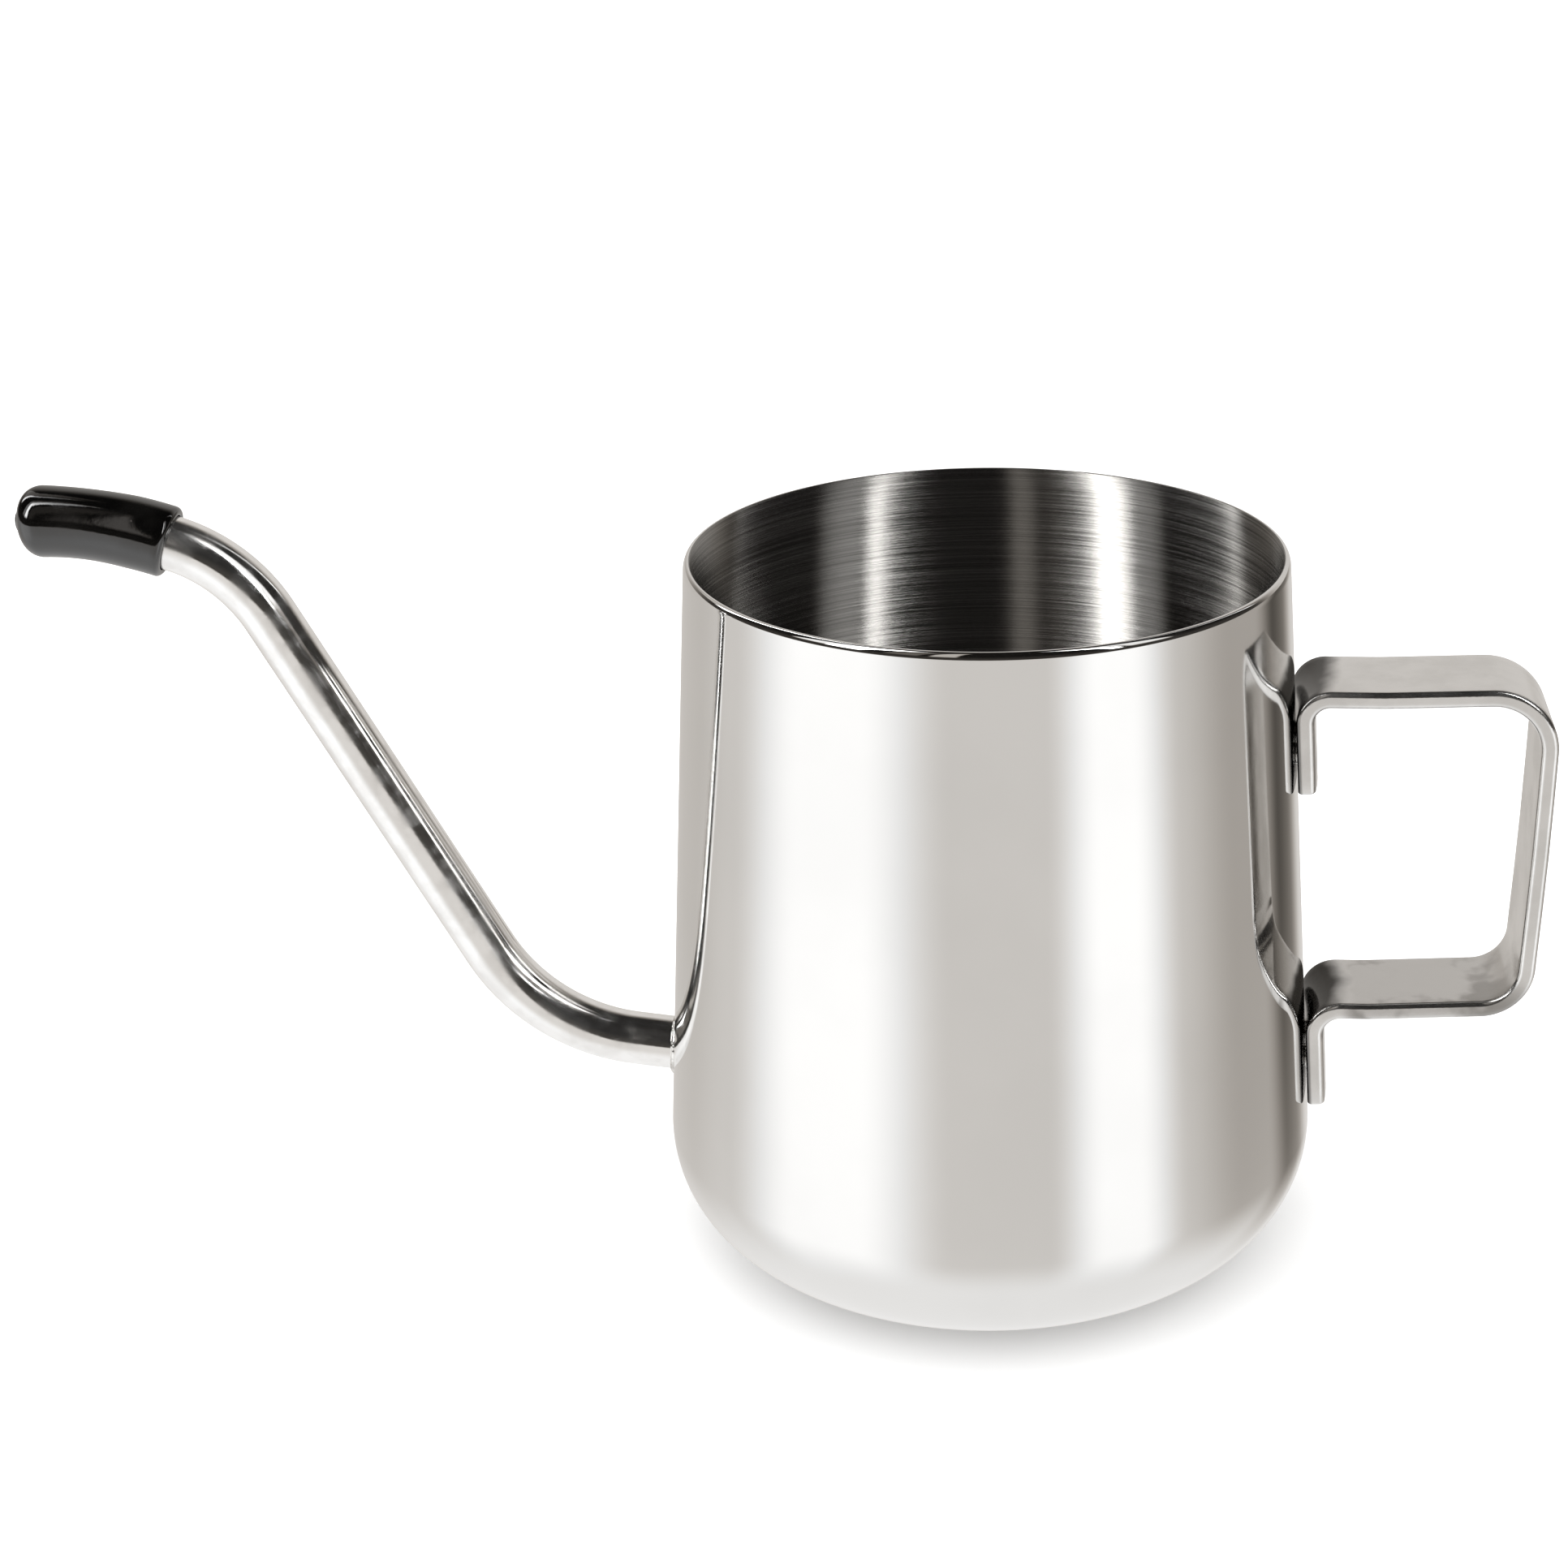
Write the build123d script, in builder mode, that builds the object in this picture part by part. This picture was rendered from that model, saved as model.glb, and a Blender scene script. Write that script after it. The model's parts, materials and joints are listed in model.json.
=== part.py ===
from build123d import *
import os
from math import atan, cos, degrees, hypot, radians, sin, tan

# A small steel pitcher with a round gooseneck spout, a bent strip handle and a soft cap on the spout.
# The origin is the centre of the base on the surface that the pitcher stands on. +Z is up, the handle
# points towards +X and the spout towards -X. All sizes are in millimetres.

# The drawn shell
height = 92.4
mouth_diameter = 75.0
base_diameter = 86.6
base_corner_radius = 15.0
shell_wall = 0.8
lip_outer_radius = 0.6
lip_inner_radius = 0.12
lip_land = 0.05

# The spout, a bent tube of one diameter
tube_diameter = 7.0
tube_wall = 0.8
spout_height = 23.0
spout_rise_angle = 6.5
spout_root_length = 5.5
lower_bend_radius = 24.6
spout_lean_angle = 61.7
spout_stretch_length = 52.5
upper_bend_radius = 19.7
tip_start_angle = 20.0
tip_arc_radius = 50.0
tip_length = 17.2
spout_stub = 0.5
spout_hole_gap = 0.05
spout_bead_width = 0.7
spout_bead_height = 0.6
spout_bead_rounding = 0.45

# The soft cap, which slides along the arc of the tip. Its mouth stands a little past the arc's start,
# and its bore leaves some room past the tube's end.
cap_mouth_setback = 1.1
cap_end_room = 1.1
cap_wall = 1.0
cap_bore_gap = 0.1
cap_end_wall = 1.6
cap_end_radius = 3.4
cap_mouth_rounding = 0.6
cap_bore_rounding = 0.25
cap_nipple_diameter = 3.0
cap_nipple_length = 0.7
cap_nipple_rounding = 0.5

# The handle, one bent strip with a tab at each end. Its heights, reaches and bend radii are those of
# the face that is outside on the loop: against the shell, on top, at the back and underneath.
strip_width = 14.0
strip_thickness = 2.2
strip_edge_radius = 0.7
tab_gap = 0.3
level_run = 2.0
upper_tab_bottom = 63.2
upper_run_top = 76.9
upper_run_rise_angle = 2.2
upper_tab_bend_radius = 4.2
upper_corner_radius = 8.2
lower_tab_bottom = 19.6
lower_run_underside = 31.95
lower_run_rise_angle = 3.0
lower_tab_bend_radius = 2.3
lower_corner_radius = 7.0
grip_reach_top = 71.1
grip_reach_bottom = 69.8
grip_bow = 0.3
grip_bow_radius = 600.0
rise_bend_radius = 40.0

# The spot welds, two in each tab, side by side
weld_diameter = 3.0
weld_spacing = 7.0
upper_weld_above_tab_end = 4.5
lower_weld_above_tab_end = 5.5

mouth_radius = mouth_diameter / 2
base_radius = base_diameter / 2
tube_radius = tube_diameter / 2
side_slope = (base_radius - mouth_radius) / height
side_angle = degrees(atan(side_slope))


def side_radius(z):
    """Outer radius of the shell's straight side at the height z."""
    return base_radius - side_slope * z


# ---------------------------------------------------------------- centre line of the spout
spout_wall_point = Vector(-side_radius(spout_height), 0, spout_height)
spout_heading = Vector(-cos(radians(spout_rise_angle)), 0, sin(radians(spout_rise_angle)))
root_inside = shell_wall / cos(radians(side_angle)) + spout_stub

with BuildLine(Plane.XZ) as spout_line:
    root = Line(
        spout_wall_point - spout_heading * root_inside,
        spout_wall_point + spout_heading * spout_root_length,
    )
    lower_bend = JernArc(root @ 1, root % 1, lower_bend_radius, spout_rise_angle - spout_lean_angle)
    stretch = Line(lower_bend @ 1, (lower_bend @ 1) + (lower_bend % 1) * spout_stretch_length)
    upper_bend = JernArc(stretch @ 1, stretch % 1, upper_bend_radius, spout_lean_angle - tip_start_angle)
    tip = JernArc(upper_bend @ 1, upper_bend % 1, tip_arc_radius, degrees(tip_length / tip_arc_radius))

spout_root_plane = Plane(origin=root @ 0, z_dir=root % 0)

# ---------------------------------------------------------------- shell
with BuildPart() as pitcher_body:
    with BuildSketch(Plane.XZ):
        with BuildLine():
            outside = FilletPolyline(
                (0, 0), (base_radius, 0), (mouth_radius, height), radius=base_corner_radius
            )
            offset(outside, amount=shell_wall, side=Side.LEFT)
        make_face()
    revolve(axis=Axis.Z)
    lip_edges = pitcher_body.edges().filter_by(GeomType.CIRCLE).group_by(Axis.Z)[-1].sort_by(SortBy.LENGTH)
    fillet(lip_edges[-1], radius=min(lip_outer_radius, shell_wall - lip_inner_radius - lip_land))
    lip_edges = pitcher_body.edges().filter_by(GeomType.CIRCLE).group_by(Axis.Z)[-1].sort_by(SortBy.LENGTH)
    fillet(lip_edges[0], radius=lip_inner_radius)
    # the hole that the spout is welded into
    with BuildSketch(spout_root_plane):
        Circle(tube_radius + spout_hole_gap)
    extrude(amount=spout_root_length, mode=Mode.SUBTRACT)
pitcher_body.part.label = "pitcher_body"

# ---------------------------------------------------------------- spout
with BuildPart() as spout_tube:
    with BuildSketch(spout_root_plane):
        Circle(tube_radius)
        Circle(tube_radius - tube_wall, mode=Mode.SUBTRACT)
    sweep(path=spout_line.wires()[0])
spout_tube.part.label = "spout_tube"

# the weld bead around the spout, where it leaves the shell
with BuildPart() as spout_weld_bead:
    with BuildSketch(Plane(origin=spout_wall_point - spout_heading * shell_wall, z_dir=spout_heading)):
        Circle(tube_radius + spout_bead_width)
    extrude(amount=shell_wall + spout_bead_height)
    fillet(spout_weld_bead.faces().sort_by(Axis.X)[0].edges(), radius=spout_bead_rounding)
    Cone(
        base_radius,
        mouth_radius,
        height,
        align=(Align.CENTER, Align.CENTER, Align.MIN),
        mode=Mode.SUBTRACT,
    )
    with BuildSketch(spout_root_plane):
        Circle(tube_radius)
    extrude(amount=spout_root_length, mode=Mode.SUBTRACT)
spout_weld_bead.part.label = "spout_weld_bead"

# ---------------------------------------------------------------- cap
cap_bore_radius = tube_radius + cap_bore_gap
cap_radius = cap_bore_radius + cap_wall
bore_length = tip_length - cap_mouth_setback + cap_end_room
cap_length = bore_length + cap_end_wall
cap_start = cap_mouth_setback / tip_length
cap_mouth = tip @ cap_start
cap_heading = tip % cap_start
cap_mouth_plane = Plane(origin=cap_mouth, z_dir=cap_heading)

with BuildLine(Plane.XZ) as cap_line:
    cap_arc = JernArc(cap_mouth, cap_heading, tip_arc_radius, degrees(cap_length / tip_arc_radius))
with BuildLine(Plane.XZ) as bore_line:
    JernArc(cap_mouth, cap_heading, tip_arc_radius, degrees(bore_length / tip_arc_radius))

with BuildPart() as spout_cap:
    with BuildSketch(cap_mouth_plane):
        Circle(cap_radius)
    sweep(path=cap_line.wires()[0])
    fillet(spout_cap.faces().sort_by(Axis.X)[0].edges(), radius=cap_end_radius)
    with BuildSketch(Plane(origin=cap_arc @ 1, z_dir=cap_arc % 1)):
        Circle(cap_nipple_diameter / 2)
    extrude(amount=cap_nipple_length, both=True)
    fillet(spout_cap.faces().sort_by(Axis.X)[0].edges(), radius=cap_nipple_rounding)
    with BuildSketch(cap_mouth_plane):
        Circle(cap_bore_radius)
    sweep(path=bore_line.wires()[0], mode=Mode.SUBTRACT)
    mouth_face = spout_cap.faces().filter_by(GeomType.PLANE).sort_by(Axis.X)[-1]
    mouth_edges = mouth_face.edges().sort_by(SortBy.LENGTH)
    fillet(mouth_edges[0], radius=cap_bore_rounding)
    mouth_face = spout_cap.faces().filter_by(GeomType.PLANE).sort_by(Axis.X)[-1]
    fillet(mouth_face.edges().sort_by(SortBy.LENGTH)[-1], radius=cap_mouth_rounding)
spout_cap.part.label = "spout_cap"

# ---------------------------------------------------------------- handle
# Up to the level stretch of each run the strip is pressed round the pitcher's axis, so that the tabs
# follow the shell. Beyond it the strip is flat.
lower_tab_face = side_radius(lower_run_underside) + tab_gap + strip_thickness
bend_reach = tan(radians(45 + side_angle / 2))
flat_from = lower_tab_face + lower_tab_bend_radius * bend_reach + level_run / 4
level_end = hypot(flat_from, strip_width / 2) + level_run
grip_top = upper_run_top + (grip_reach_top - level_end) * tan(radians(upper_run_rise_angle))
grip_bottom = lower_run_underside + (grip_reach_bottom - level_end) * tan(radians(lower_run_rise_angle))
grip_middle_reach = (grip_reach_top + grip_reach_bottom) / 2 + grip_bow

strip_corners = [
    (side_radius(upper_tab_bottom) + tab_gap, upper_tab_bottom),
    (side_radius(upper_run_top) + tab_gap, upper_run_top),
    (level_end, upper_run_top),
    (grip_reach_top, grip_top),
    (grip_middle_reach, (grip_top + grip_bottom) / 2),
    (grip_reach_bottom, grip_bottom),
    (level_end, lower_run_underside),
    (lower_tab_face, lower_run_underside),
    (side_radius(lower_tab_bottom) + tab_gap + strip_thickness, lower_tab_bottom),
]
strip_bend_radii = [
    upper_tab_bend_radius,
    rise_bend_radius,
    upper_corner_radius,
    grip_bow_radius,
    lower_corner_radius,
    rise_bend_radius,
    lower_tab_bend_radius,
]

with BuildSketch(Plane.XZ) as strip_profile:
    with BuildLine():
        strip_face = FilletPolyline(*strip_corners, radius=strip_bend_radii)
        offset(strip_face, amount=strip_thickness, side=Side.RIGHT)
    make_face()

with BuildPart() as flat_strip:
    extrude(strip_profile.sketch, amount=strip_width / 2, both=True)
    split(bisect_by=Plane.YZ.offset(flat_from), keep=Keep.TOP)

with BuildPart() as handle_strip:
    revolve(strip_profile.sketch, axis=Axis.Z)
    with Locations((flat_from / 2, 0, height / 2)):
        Box(flat_from, strip_width, 2 * height, mode=Mode.INTERSECT)
    add(flat_strip.part)
    side_faces = handle_strip.faces().filter_by(GeomType.PLANE).filter_by(Axis.Y)
    side_faces = side_faces.sort_by(Axis.Y)
    fillet(side_faces[0].edges() + side_faces[-1].edges(), radius=strip_edge_radius)
handle_strip.part.label = "handle_strip"


# ---------------------------------------------------------------- spot welds
def spot_welds(label, weld_height):
    """Two nuggets, side by side, that bridge the gap between the shell and a tab."""
    start = side_radius(weld_height) - shell_wall
    with BuildPart() as nuggets:
        with BuildSketch(Plane.YZ.offset(start)):
            with Locations((0, weld_height)):
                with GridLocations(weld_spacing, 0, 2, 1):
                    Circle(weld_diameter / 2)
        extrude(amount=shell_wall + tab_gap + strip_thickness / 2)
        Cone(
            base_radius,
            mouth_radius,
            height,
            align=(Align.CENTER, Align.CENTER, Align.MIN),
            mode=Mode.SUBTRACT,
        )
        add(handle_strip.part, mode=Mode.SUBTRACT)
    nuggets.part.label = label
    return nuggets.part


upper_tab_welds = spot_welds("upper_tab_welds", upper_tab_bottom + upper_weld_above_tab_end)
lower_tab_welds = spot_welds("lower_tab_welds", lower_tab_bottom + lower_weld_above_tab_end)

# ---------------------------------------------------------------- files
pieces = [
    pitcher_body.part,
    spout_tube.part,
    spout_weld_bead.part,
    spout_cap.part,
    handle_strip.part,
    upper_tab_welds,
    lower_tab_welds,
]
os.makedirs("parts", exist_ok=True)
for piece in pieces:
    export_step(piece, "parts/" + piece.label + ".step")
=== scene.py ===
import json
from math import ceil, cos, degrees, hypot, pi, radians, sin, sqrt, tan

import bmesh
import bpy
from mathutils import Matrix, Vector


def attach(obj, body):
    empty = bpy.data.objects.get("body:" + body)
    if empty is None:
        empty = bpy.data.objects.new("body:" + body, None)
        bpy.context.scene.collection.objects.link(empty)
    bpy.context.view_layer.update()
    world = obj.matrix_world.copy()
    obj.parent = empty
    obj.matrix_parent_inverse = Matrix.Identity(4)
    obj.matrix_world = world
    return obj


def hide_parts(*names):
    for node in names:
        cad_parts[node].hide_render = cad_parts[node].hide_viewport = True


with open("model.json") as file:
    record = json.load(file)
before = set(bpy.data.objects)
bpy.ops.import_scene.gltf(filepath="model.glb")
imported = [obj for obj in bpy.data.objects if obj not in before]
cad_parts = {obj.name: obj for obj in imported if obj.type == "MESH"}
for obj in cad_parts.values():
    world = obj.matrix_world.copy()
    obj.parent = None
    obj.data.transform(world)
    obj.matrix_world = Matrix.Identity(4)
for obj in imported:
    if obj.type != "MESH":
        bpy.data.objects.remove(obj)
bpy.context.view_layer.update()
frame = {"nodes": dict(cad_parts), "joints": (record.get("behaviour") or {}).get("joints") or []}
mm = 0.001
print("frame loaded:", ", ".join(sorted(frame["nodes"])))


# what the pieces share
def sidePoint(x, z):
    # a point in the plane that the spout and the handle lie in, from millimetres
    return Vector((x * mm, 0, z * mm))


def roundCorner(bm, vertex, radius, segments):
    arms = [edge.other_vert(vertex).co - vertex.co for edge in vertex.link_edges]
    turn = pi - arms[0].angle(arms[1])
    bmesh.ops.bevel(
        bm,
        geom=[vertex],
        offset=radius * tan(turn / 2),
        offset_type="OFFSET",
        segments=segments,
        profile=0.5,
        affect="VERTICES",
        material=-1,
    )


def vertexNear(bm, point):
    return min(bm.verts, key=lambda v: (v.co - point).length)


def edgesOf(geometry):
    return [part for part in geometry if isinstance(part, bmesh.types.BMEdge)]


def vertsOf(geometry):
    return [part for part in geometry if isinstance(part, bmesh.types.BMVert)]


def sweepRing(bm, ring, start, heading, moves, bendStep, runStep):
    # carries a ring of edges along runs and bends in the side plane, where a bend to the left is positive
    here = start.copy()
    ahead = heading.normalized()
    for move in moves:
        if move[0] == "run":
            steps = max(1, ceil(move[1] / runStep))
            for _ in range(steps):
                grown = bmesh.ops.extrude_edge_only(bm, edges=ring)["geom"]
                carried = set(vertsOf(grown))
                bmesh.ops.translate(bm, verts=list(carried), vec=ahead * move[1] / steps * mm)
                ring = [edge for edge in edgesOf(grown) if carried.issuperset(edge.verts)]
            here += ahead * move[1] * mm
        else:
            radius, angle = move[1] * mm, radians(move[2])
            left = Vector((-ahead.z, 0, ahead.x))
            middle = here + left * (radius if angle > 0 else -radius)
            turned = bmesh.ops.spin(
                bm,
                geom=ring,
                cent=middle,
                axis=(0, -1, 0),
                dvec=(0, 0, 0),
                angle=angle,
                steps=max(2, ceil(abs(move[2]) / bendStep)),
                use_merge=False,
                use_duplicate=False,
            )
            ring = edgesOf(turned["geom_last"])
            turn = Matrix.Rotation(angle, 3, (0, -1, 0))
            here = middle + turn @ (here - middle)
            ahead = turn @ ahead
    return ring


def closeUp(bm):
    bmesh.ops.remove_doubles(bm, verts=bm.verts, dist=1e-6)
    bmesh.ops.recalc_face_normals(bm, faces=bm.faces)


def turnRound(bm, steps):
    # a full turn of everything about the Z axis
    bmesh.ops.spin(
        bm,
        geom=list(bm.verts) + list(bm.edges),
        cent=(0, 0, 0),
        axis=(0, 0, 1),
        dvec=(0, 0, 0),
        angle=2 * pi,
        steps=steps,
        use_merge=True,
        use_duplicate=False,
    )
    closeUp(bm)


def makePiece(bm, name, body, materials, nodes, sharpAngle):
    mesh = bpy.data.meshes.new(name)
    bm.to_mesh(mesh)
    bm.free()
    for material in materials:
        mesh.materials.append(material)
    mesh.shade_smooth()
    mesh.set_sharp_from_angle(angle=radians(sharpAngle))
    piece = bpy.data.objects.new(name, mesh)
    bpy.context.scene.collection.objects.link(piece)
    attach(piece, body)
    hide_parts(*nodes)
    print("made", name, "with", len(mesh.polygons), "faces")
    return piece


# what the finishes share
def addNode(tree, kind, inputs=None, **settings):
    node = tree.nodes.new(kind)
    for name, value in settings.items():
        setattr(node, name, value)
    for socket, value in (inputs or {}).items():
        if isinstance(value, bpy.types.NodeSocket):
            tree.links.new(value, node.inputs[socket])
        else:
            node.inputs[socket].default_value = value
    return node


def compute(tree, operation, *values):
    return addNode(tree, "ShaderNodeMath", dict(enumerate(values)), operation=operation).outputs[0]


def remap(tree, value, fromLow, fromHigh, toLow, toHigh, smooth=False):
    kind = "SMOOTHSTEP" if smooth else "LINEAR"
    inputs = {0: value, 1: fromLow, 2: fromHigh, 3: toLow, 4: toHigh}
    return addNode(tree, "ShaderNodeMapRange", inputs, interpolation_type=kind).outputs[0]


def mixColour(tree, factor, first, second):
    inputs = {0: factor, 6: first, 7: second}
    return addNode(tree, "ShaderNodeMix", inputs, data_type="RGBA").outputs[2]


def groupSocket(tree, name, kind, inOut, value=None):
    socket = tree.interface.new_socket(name=name, in_out=inOut, socket_type=kind)
    if value is not None:
        socket.default_value = value


def newMaterial(name, viewColour):
    material = bpy.data.materials.new(name)
    material.use_nodes = True
    material.diffuse_color = (*viewColour, 1)
    tree = material.node_tree
    tree.nodes.clear()
    shader = tree.nodes.new("ShaderNodeBsdfPrincipled")
    output = tree.nodes.new("ShaderNodeOutputMaterial")
    tree.links.new(shader.outputs[0], output.inputs[0])
    place = addNode(tree, "ShaderNodeTexCoord").outputs["Object"]
    return material, tree, shader, place


# soft patches and fine speckle that every finish here has some of
def makePatches():
    tree = bpy.data.node_groups.new("handlingPatches", "ShaderNodeTree")
    groupSocket(tree, "Vector", "NodeSocketVector", "INPUT")
    groupSocket(tree, "Patch Scale", "NodeSocketFloat", "INPUT", 40.0)
    groupSocket(tree, "Speckle Scale", "NodeSocketFloat", "INPUT", 900.0)
    groupSocket(tree, "Smooth", "NodeSocketFloat", "INPUT", 0.05)
    groupSocket(tree, "Dull", "NodeSocketFloat", "INPUT", 0.12)
    groupSocket(tree, "Light Colour", "NodeSocketColor", "INPUT", (0.8, 0.8, 0.8, 1))
    groupSocket(tree, "Dark Colour", "NodeSocketColor", "INPUT", (0.7, 0.7, 0.7, 1))
    groupSocket(tree, "Colour", "NodeSocketColor", "OUTPUT")
    groupSocket(tree, "Roughness", "NodeSocketFloat", "OUTPUT")
    groupSocket(tree, "Speckle", "NodeSocketFloat", "OUTPUT")
    given = tree.nodes.new("NodeGroupInput").outputs
    taken = tree.nodes.new("NodeGroupOutput").inputs
    patch = addNode(
        tree,
        "ShaderNodeTexNoise",
        {"Vector": given["Vector"], "Scale": given["Patch Scale"], "Detail": 4, "Roughness": 0.55},
    ).outputs[0]
    speckle = addNode(
        tree,
        "ShaderNodeTexNoise",
        {"Vector": given["Vector"], "Scale": given["Speckle Scale"], "Detail": 2, "Roughness": 0.6},
    ).outputs[0]
    amount = remap(tree, patch, 0.38, 0.66, 0.0, 1.0, smooth=True)
    tree.links.new(remap(tree, amount, 0.0, 1.0, given["Smooth"], given["Dull"]), taken["Roughness"])
    tree.links.new(mixColour(tree, amount, given["Light Colour"], given["Dark Colour"]), taken["Colour"])
    tree.links.new(speckle, taken["Speckle"])
    return tree


patches = makePatches()


def usePatches(tree, place, look):
    node = tree.nodes.new("ShaderNodeGroup")
    node.node_tree = patches
    tree.links.new(place, node.inputs["Vector"])
    node.inputs["Patch Scale"].default_value = look["patchScale"]
    node.inputs["Speckle Scale"].default_value = look["speckleScale"]
    node.inputs["Smooth"].default_value = look["smooth"]
    node.inputs["Dull"].default_value = look["dull"]
    node.inputs["Light Colour"].default_value = (*look["light"], 1)
    node.inputs["Dark Colour"].default_value = (*look["dark"], 1)
    return node.outputs


def addBump(tree, shader, height, look, normal=None):
    inputs = {"Strength": look["bumpStrength"], "Distance": look["bumpDepth"], "Height": height}
    if normal:
        inputs["Normal"] = normal
    bump = addNode(tree, "ShaderNodeBump", inputs)
    tree.links.new(bump.outputs[0], shader.inputs["Normal"])


def handledMaterial(name, viewColour, look, metallic):
    # a finish whose colour, gloss and fine relief come from the patches
    material, tree, shader, place = newMaterial(name, viewColour)
    shader.inputs["Metallic"].default_value = metallic
    out = usePatches(tree, place, look)
    tree.links.new(out["Colour"], shader.inputs["Base Color"])
    tree.links.new(out["Roughness"], shader.inputs["Roughness"])
    addBump(tree, shader, out["Speckle"], look)
    return material, tree, shader, place, out["Colour"]


# one dictionary and one function for each finish
mirrorLook = {
    "light": (0.80, 0.795, 0.785),
    "dark": (0.775, 0.77, 0.76),
    "smooth": 0.03,
    "dull": 0.075,
    "patchScale": 28,
    "speckleScale": 700,
    "bumpStrength": 0.05,
    "bumpDepth": 0.00002,
}


def polishedShellMaterial():
    return handledMaterial("mirrorPolish", (0.75, 0.75, 0.74), mirrorLook, metallic=1)[0]


turnedLook = {
    "light": (0.34, 0.332, 0.318),
    "dark": (0.17, 0.165, 0.156),
    "smooth": 0.19,
    "dull": 0.27,
    "alongTurn": 22,
    "acrossTurn": 5200,
    "bumpStrength": 0.5,
    "bumpDepth": 0.00003,
    "anisotropy": 1.0,
    "grooveTilt": 0.6,  # the cutter's fine steps face up towards the mouth
}


def turnedMaterial():
    # fine rings left by the turning, none of them equally deep all the way round
    look = turnedLook
    material, tree, shader, place = newMaterial("turnedInside", (0.5, 0.5, 0.48))
    shader.inputs["Metallic"].default_value = 1
    shader.inputs["Anisotropic"].default_value = look["anisotropy"]
    shader.inputs["Anisotropic Rotation"].default_value = 0.25
    stretch = (look["alongTurn"], look["alongTurn"], look["acrossTurn"])
    stretched = addNode(tree, "ShaderNodeMapping", {"Vector": place, "Scale": stretch}).outputs[0]
    rings = addNode(
        tree, "ShaderNodeTexNoise", {"Vector": stretched, "Scale": 1.0, "Detail": 3, "Roughness": 0.6}
    ).outputs[0]
    depth = remap(tree, rings, 0.35, 0.65, 0.0, 1.0)
    tree.links.new(remap(tree, depth, 0.0, 1.0, look["smooth"], look["dull"]), shader.inputs["Roughness"])
    colour = mixColour(tree, depth, (*look["dark"], 1), (*look["light"], 1))
    tree.links.new(colour, shader.inputs["Base Color"])
    facing = addNode(tree, "ShaderNodeNewGeometry").outputs["Normal"]
    raised = addNode(tree, "ShaderNodeVectorMath", {0: facing, 1: (0, 0, look["grooveTilt"])}).outputs[0]
    steps = addNode(tree, "ShaderNodeVectorMath", {0: raised}, operation="NORMALIZE").outputs[0]
    addBump(tree, shader, rings, look, steps)
    tangent = addNode(tree, "ShaderNodeTangent", direction_type="RADIAL", axis="Z")
    tree.links.new(tangent.outputs[0], shader.inputs["Tangent"])
    return material


tubeLook = {
    "light": (0.95, 0.945, 0.935),
    "dark": (0.88, 0.87, 0.855),
    "smooth": 0.10,
    "dull": 0.22,
    "patchScale": 240,
    "speckleScale": 1500,
    "bumpStrength": 0.15,
    "bumpDepth": 0.00003,
}


def polishedTubeMaterial():
    return handledMaterial("polishedTubing", (0.75, 0.75, 0.74), tubeLook, metallic=1)[0]


weldLook = {
    "light": (0.78, 0.77, 0.75),
    "dark": (0.6, 0.58, 0.55),
    "smooth": 0.14,
    "dull": 0.32,
    "patchScale": 500,
    "speckleScale": 3000,
    "bumpStrength": 0.3,
    "bumpDepth": 0.00004,
}


def weldMaterial():
    return handledMaterial("weldMetal", (0.6, 0.6, 0.58), weldLook, metallic=1)[0]


stripLook = {
    "light": (0.78, 0.772, 0.76),
    "dark": (0.70, 0.69, 0.675),
    "smooth": 0.12,
    "dull": 0.22,
    "patchScale": 130,
    "speckleScale": 2200,
    "bumpStrength": 0.3,
    "bumpDepth": 0.00004,
    # painted shade on the lower run, in mottled patches, and the scale of the noise that mottles it
    "lowerRunPaintedShade": (0.35, 0.34, 0.325),
    "paintedShadeNoiseScale": 130,
    "lowerRunPaintedShadeBelow": (39, 34),  # pairs of millimetres: where it starts and where it is full
    "lowerRunPaintedShadeBeyond": (45, 48),
    # painted shade in the crevice between each tab and the shell
    "crevicePaintedShade": (0.02, 0.018, 0.016),
    "crevicePaintedShadeGap": (1.1, 0.4),  # measured out from the shell
    # painted shade on the hollow bends beside the shell, up to a ragged line
    "bendPaintedShade": (0.03, 0.027, 0.023),
    "bendPaintedShadeGap": (6.0, 3.2),
    "bendPaintedShadeRagged": 4.5,
    "bendPaintedShadeAcross": (6.9, 6.4),
    "upperBendAbove": (72, 74),
    "lowerBendAbove": (28.5, 30),
    "lowerBendBelow": (38, 36),
}


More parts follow.
